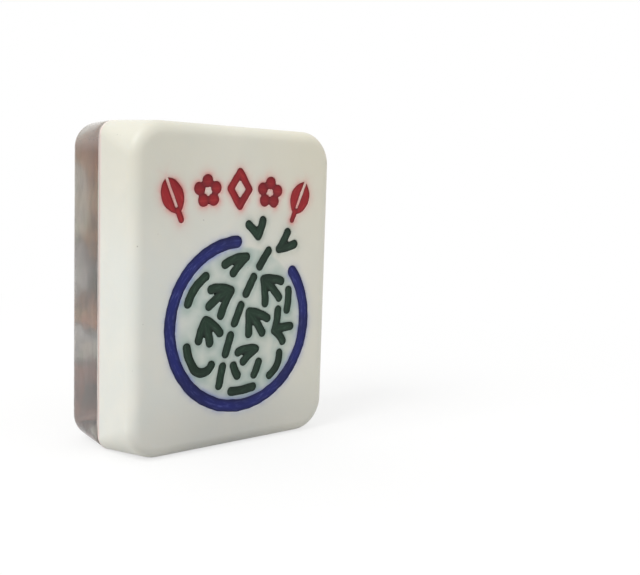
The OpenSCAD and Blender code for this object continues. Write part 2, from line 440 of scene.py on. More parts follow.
# Engraving, from the same sizes as the CAD source
ring = {"r": 7.8, "width": 1.18, "x": 0.4, "low": 3.4, "start": 94.5, "sweep": 303.0}
red = {"width": 0.76, "pitch": 3.55, "top": 9.25, "archR": 22.0, "lean": 0.5, "leafLean": 14.0,
       "bladeHigh": 3.3, "bladeWide": 1.02, "vein": 0.28, "stemWide": 0.6, "stemOut": 0.65,
       "stemIn": 0.35, "petals": 5, "petalR": 0.6, "petalRing": 0.941, "lozengeHigh": 3.9,
       "lozengeWide": 2.9}
bamboo = {
    "width": 0.88, "stalk": (-0.30, -0.72, 80.0), "stalkLong": 1.92, "stalkBend": -30.0, "joints": 5,
    "jointGap": 0.045,
    # Strokes: where they start, in ring radii, their heading, then the length and bend of each stretch
    "leaves": [
        [(0.07, 0.81, 176, 0.33, 36), (0.07, 0.81, 216, 0.27, 16)],
        [(-0.15, 0.41, 152, 0.30, 44), (-0.15, 0.41, 192, 0.36, 32), (-0.15, 0.41, 234, 0.32, 18)],
        [(0.34, 0.53, 6, 0.28, -26), (0.34, 0.53, -34, 0.35, -20), (0.34, 0.53, -80, 0.30, -8)],
        [(0.13, 0.14, -6, 0.30, -26), (0.13, 0.14, -48, 0.34, -10), (0.13, 0.14, -92, 0.27, 4)],
        [(0.57, 0.90, 52, 0.24, 10), (0.57, 0.90, 4, 0.25, 16)],
        [(0.24, 1.06, 64, 0.20, 14), (0.24, 1.06, 130, 0.20, 14)],
        [(0.53, -0.12, 70, 0.26, 18), (0.53, -0.12, 16, 0.26, -18), (0.53, -0.12, -34, 0.20, -26)],
        [(0.24, -0.33, 164, 0.27, 36), (0.24, -0.33, 208, 0.23, 16)],
        [(-0.76, 0.29, 72, 0.40, -40)],
        [(-0.51, 0.08, -22, 0.27, -33), (-0.51, 0.08, -72, 0.28, -10), (-0.51, 0.08, -122, 0.25, 20)],
        [(0.74, 0.375, -88, 0.25, -12)],
    ],
    "ground": {
        "shoot_paint": [(0.225, -0.645, 60, 0.16, 12)],
        "cloud_paint": [(-0.77, -0.22, -80, 0.28, 24, 0.30, 120)],
        "rock_paint": [(0.47, -0.68, 30, 0.16, 30, 0.16, 34)],
        "pebble_paint": [(-0.095, -0.505, -70, 0.14, 14)],
        "bank_paint": [(-0.12, -0.815, -4, 0.33, 14)],
    },
}


def ringStrokes():
    start = ring["r"] * toward(ring["start"]) + (ring["x"], -ring["low"])
    return stroke(start, ring["start"] + 90, [[math.radians(ring["sweep"]), ring["sweep"]]], ring["r"],
                  ring["width"])


def bambooStrokes(groups):
    run = []
    for x, z, heading, *bends in groups:
        at = np.array([x, z]) * ring["r"] + (ring["x"], -ring["low"])
        run += stroke(at, heading, zip(bends[::2], bends[1::2]), ring["r"], bamboo["width"])
    return run


def stalkStroke(i):
    x, z, heading = bamboo["stalk"]
    share = i / bamboo["joints"]
    bend = bamboo["stalkBend"]
    at = np.array([x, z])
    if i:
        at = stretchEnd(at, heading, bamboo["stalkLong"] * share, bend * share)
    length = bamboo["stalkLong"] / bamboo["joints"] - bamboo["jointGap"] - bamboo["width"] / ring["r"]
    return [at[0], at[1], heading + bend * share, length, bend * length / bamboo["stalkLong"]]


def leaned(run, lean, spot=(0, 0)):  # turns strokes about the middle, then shifts them
    turned = np.array([toward(lean), toward(lean + 90)])
    for s in run:
        s["at"] = s["at"] @ turned + spot
        s["heading"] += lean
    return run


def onArch(run, step):  # carries an ornament to its place on the arch, leaning with it
    slope = math.degrees(math.asin(step * red["pitch"] / red["archR"]))
    high = red["top"] - red["archR"] * (1 - math.cos(math.radians(slope)))
    return leaned(run, -slope * red["lean"], (step * red["pitch"], high))


def redLeafStrokes():
    # A stem, and two halves of a blade: each is the part of a disc past a straight edge by the vein.
    high, wide = red["bladeHigh"], red["bladeWide"]
    low = (red["stemOut"] + red["stemWide"] / 2 - high) / 2
    discR = (high ** 2 / 4 + wide ** 2) / (2 * wide)
    run = stroke((0, low - red["stemOut"]), 90, [[1 + red["stemIn"], 0]], red["stemOut"], red["stemWide"])
    for side in (1, -1):
        spot = np.array([side * (red["vein"] / 2 + wide - discR), low + high / 2])
        run.append({"at": spot, "heading": 90 - side * 90, "half": discR, "edge": discR - wide})
    return run


def blossomStrokes():
    run = []
    for i in range(red["petals"]):
        around = 90 + i * 360 / red["petals"]
        run += stroke(red["petalRing"] * toward(around), 0, [[0, 0]], 1, 2 * red["petalR"])
    return run


def lozengeStrokes():
    high = (red["lozengeHigh"] - red["width"]) / 2
    wide = (red["lozengeWide"] - red["width"]) / 2
    side = math.hypot(high, wide)
    lean = math.degrees(math.atan2(high, wide))
    starts = [((wide, 0), 180 - lean), ((0, high), 180 + lean), ((-wide, 0), -lean), ((0, -high), lean)]
    run = []
    for at, heading in starts:
        run += stroke(at, heading, [[1, 0]], side, red["width"])
    return run


blueStrokes = {"ring_paint": ringStrokes()}
redStrokes = {
    "red_leaf_paint_left": onArch(leaned(redLeafStrokes(), red["leafLean"]), -2),
    "blossom_paint_left": onArch(blossomStrokes(), -1),
    "lozenge_paint": onArch(lozengeStrokes(), 0),
    "blossom_paint_right": onArch(blossomStrokes(), 1),
    "red_leaf_paint_right": onArch(leaned(redLeafStrokes(), -red["leafLean"]), 2),
}
greenStrokes = {f"stalk_paint_{i + 1}": bambooStrokes([stalkStroke(i)]) for i in range(bamboo["joints"])}
greenStrokes.update({f"leaf_paint_{i + 1}": bambooStrokes(g) for i, g in enumerate(bamboo["leaves"])})
greenStrokes.update({name: bambooStrokes(g) for name, g in bamboo["ground"].items()})
allStrokes = [s for run in (blueStrokes | redStrokes | greenStrokes).values() for s in run]


# White block: fine grid around the engraving, rounded lips and edges
block = {
    "fineStep": 0.09, "plainStep": 0.28, "fineTo": (8.95, 11.9), "lipR": 0.045, "lipSteps": 2,
    "edgeR": 1.15, "edgeSteps": 10, "seamSteps": 3, "sideSteps": 4, "faceCornerR": 3.2,
    "seamCornerR": 1.3,
    # Colour around the paint: whose, and how far it reaches
    "halos": {"redNear": (redStrokes, 0.275), "greenNear": (greenStrokes, 0.30),
              "blueNear": (blueStrokes, 0.235), "stain": (greenStrokes, 1.5)},
    "colour": tone(228, 227, 218), "cool": tone(219, 222, 216), "warm": tone(232, 226, 210),
    # Painted shade: the greyer tone laid on the top left of the face, and the darker one at its foot
    "yellowed": tone(222, 217, 197), "worn": tone(204, 202, 188), "foot": tone(190, 188, 182),
    # Painted glow: the pink laid on the block at the seam, for the picture's light shining in
    "seamGlow": tone(240, 212, 208), "redHalo": tone(220, 110, 108), "greenHalo": tone(104, 130, 116),
    "blueHalo": tone(114, 128, 190), "wash": tone(164, 188, 181), "dust": tone(110, 100, 92),
    "roughness": 0.36, "grain": 0.00004, "softness": 0.12, "softReach": 0.0012,
}


def quarterRound(radius, count):
    # A round edge between a face and a side: each point's distance from the side and from the face
    turns = np.linspace(0, math.pi / 2, count + 1)
    return radius * (1 - np.sin(turns)), radius * (1 - np.cos(turns))


def near(points, strokes, reach):  # 1 at the strokes, fading over reach
    run = [s for part in strokes.values() for s in part]
    return np.exp(-np.maximum(strokesField(points, run)[0], 0) / reach)


def blockShell():
    lip = block["lipR"]
    edge = block["edgeR"]

    def outline(points):
        return roundRect(points, edge, block["faceCornerR"])

    def grooves(points):
        return strokesField(points, allStrokes)[0] - lip

    def regionOf(points):
        return np.where(outline(points) > 0, 0, np.where(grooves(points) < 0, 2, 1))

    steps = (block["plainStep"], block["fineStep"], block["plainStep"])
    us, vs = [evenSteps((-far, -fine, fine, far), steps)
              for far, fine in zip(halfTile - edge + 2 * block["plainStep"], block["fineTo"])]
    points, triangles, kind = fittedGrid(us, vs, regionOf, [outline, grooves])
    faceTriangles = triangles[kind == 1]
    floorTriangles = triangles[kind == 2]
    shell = Shell()
    used = np.unique(faceTriangles)

    def halos(spots):
        found = {name: near(spots, *halo) for name, halo in block["halos"].items()}
        found["inRing"] = np.hypot(*(spots - (ring["x"], -ring["low"])).T) / ring["r"]
        return found

    index = shell.sheet(len(points), used, points[used], tile["faceY"], **halos(points[used]))
    shell.face(index[faceTriangles])
    edges = bordersOf(faceTriangles)
    outer = np.abs(outline(points[edges].mean(1))) < block["fineStep"] / 2

    # Walls of the grooves: round over the lip, straight down, then the floor
    wallEdges = edges[~outer]
    wall = np.unique(wallEdges)
    outward = slopeOf(grooves, points[wall])
    before, down = quarterRound(lip, block["lipSteps"])
    rows = []
    for back, deep in zip([*(lip - before[1:]), lip], [*down[1:], tile["grooveDepth"]]):
        spots = points[wall] - outward * back
        rows.append((spots, tile["faceY"] + deep, halos(spots)))
    floor = shell.skirt(wallEdges, wall, index, rows)
    inner = np.setdiff1d(np.unique(floorTriangles), wall)
    stray = np.clip(grooves(points[inner]) + lip, 0, None)[:, None]
    spots = points[inner] - stray * slopeOf(grooves, points[inner])
    floorY = tile["faceY"] + tile["grooveDepth"]
    floor[inner] = shell.add(spots, floorY) + np.arange(len(inner))
    shell.face(floor[floorTriangles])

    # Round front edge, side, round seam edge and back; the corners are squarer towards the seam
    rimEdges = edges[outer]
    rim = np.unique(rimEdges)
    seam = tile["seamEdgeR"]
    edgeIn, edgeDown = quarterRound(edge, block["edgeSteps"])
    seamUp, seamIn = quarterRound(seam, block["seamSteps"])
    sideY = np.linspace(tile["faceY"] + edge, tile["blockBackY"] - seam, block["sideSteps"] + 1)
    inset = np.concatenate([edgeIn[1:], 0 * sideY[1:], seamIn[1:]])
    y = np.concatenate([tile["faceY"] + edgeDown[1:], sideY[1:], tile["blockBackY"] - seamUp[1:]])
    cornerR = np.interp(y, sideY[[0, -1]], [block["faceCornerR"], block["seamCornerR"]])
    rows = [(recornered(points[rim], block["faceCornerR"], r, back), deep, {})
            for back, deep, r in zip(inset, y, cornerR)]
    last = shell.skirt(rimEdges, rim, index, rows)
    order = np.argsort(-np.arctan2(points[rim, 1], points[rim, 0]))
    shell.face(last[rim[order]][None, :], smooth=False)
    return shell


def plasticMaterial():
    # Warm white, clouded by a cooler tone in broad blots and a warmer one in fine ones
    s = Shader("whitePlastic")
    broad = s.noise(0.006, 2.0, 0.5, 0.6).step(0.35, 0.68)
    fine = s.noise(0.0007, 4.0, 0.6)
    s.colour = s.mix(broad * 0.6, block["colour"], block["cool"])
    s.lay(fine.step(0.5, 0.9) * 0.35, block["warm"])
    # Yellowed towards the top and the right, with painted shade that greys the top left and the foot of
    # the face, and a painted pink glow at the seam, where the light of the picture shines in
    x, y, z = s.parts()
    s.lay(z.step(0.016, 0.029) * 0.45 + x.step(-0.002, 0.0115) * 0.4, block["yellowed"])
    # Painted shade: the top left of the face greyer
    s.lay((1 - x.step(-0.0085, 0.0)) * z.step(0.015, 0.027) * 0.35, block["worn"])
    # Painted glow: pink light of the picture shining into the block at the seam
    s.lay(y.step(-0.0006, -0.00015) * 0.6, block["seamGlow"])
    # Painted shade at the foot of the face, darker low down by the floor
    foot = (1 - z.step(0.0, 0.0065)) * (1 - y.step(-0.0055, -0.0048))
    s.lay(foot * 0.36, block["foot"])
    # Thin colour that crept out of the grooves: patchy halos, and a pale green wash inside the ring
    patchy = 0.55 + 0.45 * s.noise(0.0013, 2.0, 0.5).step(0.4, 0.6)
    s.lay(s.value("redNear") * patchy * 0.78, block["redHalo"])
    inside = 1 - s.value("inRing").step(0.90, 0.96)
    blot = s.noise(0.0026, 2.0, 0.5, 1.0).step(0.36, 0.66)
    s.lay(s.value("stain") * inside * (0.5 + 0.3 * blot), block["wash"])
    s.lay(s.value("greenNear") * patchy * 0.5, block["greenHalo"])
    s.lay(s.value("blueNear") * patchy * (0.55 + 0.4 * inside), block["blueHalo"])
    # A few tiny dark specks of dust pressed into the plastic
    s.lay(s.noise(0.00045, 1.0, 0.4).step(0.80, 0.84) * 0.4, block["dust"])
    rough = block["roughness"] + fine * 0.08 + broad * 0.05
    height = s.noise(0.0016) * 0.7 + fine * 0.3
    return s.finish(s.surface(rough, height, block["grain"], Subsurface_Weight=block["softness"],
                              Subsurface_Radius=(0.9, 0.7, 0.5), Subsurface_Scale=block["softReach"]))


blockShell().piece("whiteBlock", plasticMaterial(), "white_block", "face_block")


# Dried enamel in the grooves
enamel = {
    "gridStep": 0.075, "gap": 0.004, "climb": 0.05, "climbReach": 0.09, "sag": 0.03, "uneven": 0.014,
    "waves": 5, "waviness": 2.4, "lineSteps": 25, "shine": 0.2, "roughness": 0.34, "grain": 0.00003,
    # Each paint: its deep, light and edge tone, and the strength of its streaks; the edge tone also
    # paints shade along the groove walls
    "blue": (tone(33, 39, 108), tone(84, 92, 160), tone(20, 22, 62), 0.6),
    "red": (tone(158, 38, 44), tone(188, 68, 64), tone(112, 28, 36), 0.55),
    "green": (tone(33, 56, 42), tone(62, 86, 70), tone(14, 28, 20), 0.55),
}


def middleLine(s):  # places along a stroke, or round the rim of half a blade
    if "edge" in s:
        swing = math.degrees(math.acos(s["edge"] / s["half"]))
        ways = [toward(s["heading"] + k * swing) for k in (-1, -0.5, 0, 0.5, 1)]
        return s["at"] + s["half"] * np.array(ways)
    return np.array([stretchEnd(s["at"], s["heading"], s["length"] * k, s["turn"] * k)
                     for k in np.linspace(0, 1, enamel["lineSteps"])])


def paintShell(strokes, seed):
    def field(points):
        return strokesField(points, strokes)[0] + enamel["gap"]

    spots = np.concatenate([middleLine(s) for s in strokes])
    reach = max(s["half"] for s in strokes if "edge" not in s) + 3 * enamel["gridStep"]
    points, triangles, used = gridWithin(spots.min(0) - reach, spots.max(0) + reach, enamel["gridStep"],
                                         field)
    deep, along, side = strokesField(points[used], strokes)
    inward = np.maximum(-deep - enamel["gap"], 0)
    middle = np.clip(inward / strokes[0]["half"], 0, 1)
    random = np.random.default_rng(seed)
    swings = [np.sin(points[used] @ random.normal(0, enamel["waviness"], 2) + random.uniform(0, 6.28))
              for _ in range(enamel["waves"])]
    wave = sum(swings) / len(swings)
    climb = enamel["climb"] * np.exp(-inward / enamel["climbReach"])
    surface = (tile["faceY"] + tile["paintDrop"] - climb + enamel["sag"] * middle ** 2
               + enamel["uneven"] * wave * middle)
    shell = Shell()
    values = {"middle": middle, "along": along * mm, "side": side * mm}
    high, low = [shell.sheet(len(points), used, points[used], y, **values)
                 for y in (surface, tile["faceY"] + tile["grooveDepth"])]
    shell.face(high[triangles])
    shell.face(low[triangles][:, ::-1])
    shell.strip(bordersOf(triangles), high, low)
    return shell


def enamelMaterial(name, deep, light, edge, streak):
    # Brushed streaks along the stroke, thicker and darker blots, and a dark rim of painted shade where
    # the paint climbs the groove walls
    s = Shader(name)
    run = s.node("CombineXYZ", {}, {0: s.value("along"), 1: s.value("side"), 2: 0.0})
    lines = s.noise(0.00022, 3.0, 0.6, stretch=(0.22, 1, 1), where=run)
    blot = s.noise(0.0009, 3.0, 0.55)
    s.colour = s.mix(lines.step(0.48, 0.72) * streak, deep, light)
    s.lay(blot.step(0.35, 0.7) * 0.35, deep)
    s.lay(s.noise(0.0034, 1.0, 0.5).step(0.46, 0.66) * 0.45, edge)
    # Painted shade of the groove walls: the paint darker towards the edge of each stroke
    s.lay((1 - s.value("middle").step(0.0, 0.7)) * 0.75, edge)
    rough = enamel["roughness"] + blot * 0.18
    height = lines * 0.6 + s.noise(0.00012, 2.0, 0.5) * 0.4
    return s.finish(s.surface(rough, height, enamel["grain"], Specular_IOR_Level=enamel["shine"]))


def addPaint():
    seed = 1  # one for each piece of paint
    for colour, group in (("blue", blueStrokes), ("red", redStrokes), ("green", greenStrokes)):
        material = enamelMaterial(colour + "Enamel", *enamel[colour])
        for node, strokes in group.items():
            first, *rest = node.replace("paint", "enamel").split("_")
            name = first + "".join(word.capitalize() for word in rest)
            paintShell(strokes, seed).piece(name, material, colour + "_paint", node)
            seed += 1


addPaint()


def smooth(values, low, high):  # 0 below low, 1 above high
    share = np.clip((values - low) / (high - low), 0, 1)
    return share * share * (3 - 2 * share)


# Printed film: the picture faces the clear back, a little inside it so that no air lies between
film = {
    "gridStep": 0.1, "bite": 0.004, "margin": 0.03, "cornerR": 1.4, "soft": 0.16, "shine": 0.08,
    "roughness": 0.5, "grain": 0.00001, "printedFrom": 0.00001, "printedTo": 0.00003,
    "sky": tone(212, 184, 116), "skyHigh": tone(212, 142, 98), "skySide": tone(190, 118, 106),
    "cloud": tone(218, 176, 144), "glow": tone(236, 208, 168), "pale": tone(240, 236, 230),
    "pink": tone(182, 112, 106), "speck": tone(116, 104, 94), "ink": tone(26, 24, 22),
    "edge": tone(228, 208, 202),
    # Washes, one over the other: the noise at which each turns from its first tone to its second
    "washes": {
        "moon": (0.35, 0.65, tone(244, 236, 218), tone(228, 222, 218)),
        "farHill": (0.4, 0.62, tone(226, 223, 224), tone(204, 192, 190)),
        "midHill": (0.42, 0.6, tone(206, 142, 106), tone(212, 178, 120)),
        "lake": (0.4, 0.66, tone(212, 213, 220), tone(234, 225, 210)),
        "bank": (0.42, 0.6, tone(192, 130, 108), tone(166, 106, 102)),
    },
}

# The landscape on it, in millimetres: x to the right as seen from behind, z up from the middle
land = {
    "seed": 11, "moonAt": (2.4, 7.4), "moonR": 4.2, "moonSoft": 0.25, "glowReach": 2.2,
    # Top edges: a height, then the height, rate and shift of each wave
    "tops": {
        "farHill": (2.2, (1.5, 0.42, 0.6), (0.7, 1.1, 2.0), (0.25, 2.9, 0.4), (0.10, 6.3, 1.0)),
        "midHill": (-1.6, (1.5, 0.36, 3.4), (0.35, 1.3, 0.4), (0.16, 4.1, 2.0)),
        "lake": (-5.4, (0.5, 0.5, 0.2), (0.15, 1.9, 1.0), (0.08, 5.2, 0.0)),
        "bank": (-10.4, (1.5, 0.33, 2.2), (0.4, 1.5, 0.0), (0.14, 4.7, 0.6)),
    },
    # Shaded flanks: how deep, and what lies below. Strokes on slopes: what lies below, how many, how long
    "shades": (("farHill", 2.4, "midHill"), ("midHill", 2.8, "lake"), ("bank", 2.2, None)),
    "slopes": (("farHill", "midHill", 46, 2.6), ("midHill", "lake", 52, 3.0)),
    # Strokes of one kind: the spans of their heading, length, bend and width
    "trees": 70, "treesAt": (-8.6, -2.6, 5.4, 9.8),
    "tree": ((62, 118), (0.7, 1.8), (-30, 30), (0.3, 0.6)),
    "ripples": 60, "ripple": ((-8, 8), (0.8, 3.4), (-14, 14), (0.16, 0.42)),
    "reeds": 46, "reed": ((74, 106), (1.8, 5.2), (-34, 34), (0.16, 0.34)),
    # Rocks: where, and how big. Stems: where, and their lean
    "rocks": ((-7.4, -8.6, 1.5), (6.8, -7.6, 1.2), (8.8, -11.6, 2.4), (-2.2, -13.2, 1.9),
              (3.4, -12.4, 1.3), (-10.4, -12.4, 1.8)),
    "rockStrokes": 12, "rockLights": 4,
    "stems": ((-9.6, 88.0), (-7.6, 93.0)), "stemFoot": -15.2, "stemParts": 8, "stemBend": 1.5,
    "stemWide": 0.86, "leaves": 64, "stemLeaves": 40,
}


class Picture:
    # Layers of ink, dusty pink and pale paint over the points of the film
    def __init__(self, points):
        self.points = points
        self.layers = {name: np.zeros(len(points)) for name in ("ink", "pink", "pale")}

    def brush(self, layer, at, heading, length, turn, width, taper=0.7):
        # A brush stroke swells and thins along its run, and covers what lies under it
        at = np.array(at, float)
        spot = np.flatnonzero(np.abs(self.points - at).max(1) < length + width)
        run = {"at": at, "heading": heading, "length": length, "turn": turn, "half": 0, "before": 0}
        off, along, _ = stretchField(self.points[spot], run)
        half = width / 2 * np.maximum(np.sin(math.pi * (0.08 + 0.9 * along / length)), 0) ** taper
        cover = smooth(half - off, -film["soft"], film["soft"])
        self.lay(layer, cover, spot)

    def lay(self, layer, cover, spot=slice(None)):
        for name, values in self.layers.items():
            old = values[spot]
            values[spot] = np.maximum(old, cover) if name == layer else old * (1 - cover)


def top(name, x):
    base, *waves = land["tops"][name]
    return base + sum(high * np.sin(rate * x + shift) for high, rate, shift in waves)


def pictureFields(points):
    # Each field of the landscape is 0 to 1 over the points
    x, z = points.T
    random = np.random.default_rng(land["seed"])
    between = random.uniform
    picture = Picture(points)
    soft = film["soft"]

    def dab(layer, spot, kind):  # a stroke of one kind, drawn at random within its spans
        picture.brush(layer, spot, *[between(*span) for span in land[kind]])

    far = np.hypot(x - land["moonAt"][0], z - land["moonAt"][1]) - land["moonR"]
    fields = {"moon": smooth(-far, -land["moonSoft"], land["moonSoft"]),
              "glow": np.exp(-np.maximum(far, 0) / land["glowReach"])}
    # Land, with a ridge line that is heavier in places
    for name in land["tops"]:
        above = top(name, x) - z
        fields[name] = smooth(above, -soft, soft)
        half = 0.10 + 0.14 * np.sin(1.3 * x + len(name)) ** 2
        picture.lay("ink", smooth(half - np.abs(above), -soft, soft))
    # Shade on the flanks that fall to the right
    for name, deep, end in land["shades"]:
        fall = smooth(top(name, x - 0.2) - top(name, x + 0.2), 0.04, 0.34)
        under = top(name, x) - z
        shade = fall * smooth(under, 0, 0.3) * (1 - smooth(under, deep * 0.35, deep))
        if end:
            shade = shade * smooth(z - top(end, x), 0.1, 0.5)
        picture.lay("ink", 0.62 * shade)
    # Strokes down the slopes
    for name, end, count, longest in land["slopes"]:
        for _ in range(count):
            px = between(-11, 11)
            falls = top(name, px - 0.2) > top(name, px + 0.2)
            pz = top(name, px) - between(0.1, 1.5)
            length = min(between(0.9, longest), max(pz - top(end, px), 0.5) * 1.2)
            heading = between(-72, -38) if falls else between(-142, -108)
            picture.brush("ink" if random.random() < 0.88 else "pale", (px, pz), heading, length,
                          between(-25, 25), between(0.22, 0.62 if falls else 0.4))
    # Dark clumps of trees along the middle hills
    for _ in range(land["trees"]):
        px = random.choice(land["treesAt"]) + random.normal(0, 0.8)
        dab("ink", (px, top("midHill", px) + between(-0.5, 0.1)), "tree")
    # Ripples on the lake
    for k in range(land["ripples"]):
        dab("ink" if k % 4 else "pale", (between(-11, 10), between(-10.0, -5.9)), "ripple")
    # Rocks in the water and at the foot, each a fan of heavy strokes with a pink lit side
    for px, pz, big in land["rocks"]:
        for _ in range(land["rockStrokes"]):
            slant = between(-0.9, 0.9)
            spot = (px + slant * big, pz + big * (0.9 - 0.5 * slant ** 2))
            picture.brush("ink", spot, -90 + 30 * slant, big * between(1.2, 1.7), between(-20, 20),
                          big * 0.42, 0.4)
        for _ in range(land["rockLights"]):
            spot = (px - big * between(0.3, 0.9), pz + big * between(0.0, 0.7))
            picture.brush("pink", spot, between(-95, -60), big * between(0.4, 0.8), between(-20, 20),
                          0.34)
    # Reeds on the near bank
    for _ in range(land["reeds"]):
        dab("ink", (between(-11.2, 11.0), between(-14.6, -11.2)), "reed")
    # Two bamboo stems at the left with their leaves, and a branch that hangs in at the top right
    for px, heading in land["stems"]:
        at = np.array([px, land["stemFoot"]])
        turn = land["stemBend"]
        for k in range(land["stemParts"]):
            length = 3.9 + 0.3 * math.sin(5 * k + px)
            picture.brush("ink", at, heading, length - 0.16, turn, land["stemWide"], 0.14)
            picture.brush("pink", at + (-0.16, 0.5), heading, length - 1.1, turn, 0.2, 0.3)
            at = stretchEnd(at, heading, length, turn)
            heading += turn
    for k in range(land["leaves"]):
        if k < land["stemLeaves"]:
            at = (random.choice([-9.3, -7.4]) + between(0.2, 3.2), between(1.5, 15.2))
            heading = random.choice([-64, -42, -18, -112]) + random.normal(0, 9)
        else:
            at = (between(4.5, 11.6), between(10.5, 15.2))
            heading = random.choice([-128, -104, -158]) + random.normal(0, 9)
        picture.brush("ink" if k % 4 else "pink", at, heading, between(2.2, 4.6), between(-35, 35),
                      between(0.6, 1.05), 0.9)
    fields.update(picture.layers)
    return fields


def filmShell():
    def outline(points):
        return roundRect(points, tile["layerInset"] + film["margin"], film["cornerR"])

    points, triangles, used = gridWithin(-halfTile, halfTile, film["gridStep"], outline)
    shell = Shell()
    fields = pictureFields(points[used] * (-1, 1))
    upper = shell.sheet(len(points), used, points[used], tile["slabFrontY"] + film["bite"], **fields)
    shell.face(upper[triangles][:, ::-1])
    edges = bordersOf(triangles)[:, ::-1]
    rim = np.unique(edges)
    rimFields = {name: values[np.searchsorted(used, rim)] for name, values in fields.items()}
    outward = slopeOf(outline, points[rim])
    wider = points[rim] + outward * film["margin"]
    rows = [(points[rim], tile["filmBackY"], rimFields), (wider, tile["filmBackY"], rimFields),
            (wider, tile["filmFrontY"], rimFields)]
    last = shell.skirt(edges, rim, upper, rows)
    order = np.argsort(np.arctan2(points[rim, 1], points[rim, 0]))
    shell.face(last[rim[order]][None, :], smooth=False)
    return shell


def filmMaterial():
    # Sky in three tones with pale clouds, the washes over it, then pale and pink paint, specks and ink
    s = Shader("printedFilm")
    x, y, z = s.parts()
    paper = s.noise(0.0011, 4.0, 0.6, 0.5)
    wash = s.noise(0.0042, 3.0, 0.55, 1.0, (1, 1, 2.2))
    bristle = s.noise(0.0003, 3.0, 0.55)
    grain = s.noise(0.00013, 2.0, 0.6)

    def ragged(name):  # the edge of a painted layer, frayed by the bristles
        return (s.value(name) + (bristle - 0.5) * 1.2).step(0.40, 0.60)

    high = (z - 0.013).step(0.0, 0.014)
    across = (0.5 - x / 0.022).step(0.1, 0.8)
    s.colour = s.mix(high, film["sky"], film["skyHigh"])
    s.lay((1 - across) * 0.9, film["skySide"])
    s.lay(wash.step(0.52, 0.66) * 0.5, film["cloud"])
    s.lay(s.value("glow") * 0.6, film["glow"])
    for name, (start, end, first, second) in film["washes"].items():
        s.lay(s.value(name), s.mix(wash.step(start, end), first, second))
    s.lay(ragged("pale") * 0.85, film["pale"])
    s.lay(ragged("pink") * 0.9, film["pink"])
    s.lay(grain.step(0.35, 0.75) * 0.22, film["speck"])
    s.lay(ragged("ink") * (0.88 + 0.12 * paper), film["ink"])
    # The cut edge isn't printed
    s.lay(1 - y.step(film["printedFrom"], film["printedTo"]), film["edge"])
    rough = film["roughness"] + paper * 0.1
    return s.finish(s.surface(rough, paper, film["grain"], Specular_IOR_Level=film["shine"]))


filmShell().piece("printedFilm", filmMaterial(), "picture_film", "picture_film")


# Loops of the tile's outline, for the clear back and the adhesive
loop = {"step": 0.5, "cornerSteps": 18}


def outlineLoop():
    # Points a step apart on the straights and closer round the corners
    r = tile["cornerR"]
    halfWide, halfHigh = halfTile - r
    rows = []
    for k, (sx, sy) in enumerate(((1, 1), (-1, 1), (-1, -1), (1, -1))):
        turns = np.linspace(0, math.pi / 2, loop["cornerSteps"] + 1) + k * math.pi / 2
        way = np.stack([np.cos(turns), np.sin(turns)], 1)
        rows.append(way * r + (sx * halfWide, sy * halfHigh))
        length = 2 * (halfWide if k % 2 == 0 else halfHigh)
        share = np.linspace(0, 1, int(length / loop["step"]) + 2)[1:-1, None]
        ahead = np.array([-way[-1][1], way[-1][0]])
        rows.append(rows[-1][-1] + share * length * ahead)
    return np.concatenate(rows)


def loopShell(insets, depths, cornerRs, closed, **values):
    # A band through loops, each drawn in, with its own depth, corners and point values. A closed band
    # comes back to its first loop; an open one has a flat face at each end.
    points = outlineLoop()
    count = len(points)
    edges = np.stack([np.arange(count), (np.arange(count) + 1) % count], 1)
    shell = Shell()
    loops = []
    for k, (inset, y, r) in enumerate(zip(insets, depths, cornerRs)):
        spots = recornered(points, tile["cornerR"], r, inset)
        levels = {name: rows[k] for name, rows in values.items()}
        loops.append(shell.add(spots, y, **levels) + np.arange(count))
    for upper, lower in zip(loops, loops[1:] + loops[:1] * closed):
        shell.strip(edges, upper, lower)
    if not closed:
        shell.face(loops[0][None, :], smooth=False)
        shell.face(loops[-1][None, ::-1], smooth=False)
    return shell


# Clear back: satin sides, polished rear, and corners that are squarer towards the seam
slab = {
    "edgeSteps": 14, "seamSteps": 4, "sideSteps": 4, "seamCornerR": 1.45, "rearCornerR": 2.4, "ior": 1.49,
    "shine": 0.3, "ripple": 0.00005, "rearRoughness": 0.06, "sideRoughness": 0.14, "skinRoughness": 0.6,
    "rearTint": tone(248, 248, 246), "sideTint": tone(210, 203, 195), "sideHigh": tone(188, 180, 171),
    "sideBlot": tone(186, 178, 170), "sideGreen": tone(170, 180, 164), "sideDark": tone(140, 130, 122),
    "edgeTint": tone(158, 153, 147), "milky": tone(232, 232, 228), "dull": tone(162, 157, 149),
    "chipped": tone(235, 235, 232), "dirty": tone(92, 84, 76),
}


def slabShell():
    edge, seam = tile["backEdgeR"], tile["seamEdgeR"]
    front, rear = tile["slabFrontY"], tile["slabBackY"]
    seamIn, seamDown = quarterRound(seam, slab["seamSteps"])
    edgeUp, edgeIn = quarterRound(edge, slab["edgeSteps"])
    flatY = np.linspace(front + seam, rear - edge, slab["sideSteps"] + 1)[1:-1]
    inset = np.concatenate([seamIn, 0 * flatY, edgeIn])
    y = np.concatenate([front + seamDown, flatY, rear - edgeUp])
    cornerR = np.interp(y, (front + seam, rear - edge), (slab["seamCornerR"], slab["rearCornerR"]))
    plain = np.zeros(len(seamIn) + len(flatY))
    turns = np.linspace(0, math.pi / 2, len(edgeIn))
    return loopShell(inset, y, cornerR, False, side=np.concatenate([plain + 1, np.cos(turns)]),
                     fillet=np.concatenate([plain, np.sin(2 * turns)]))


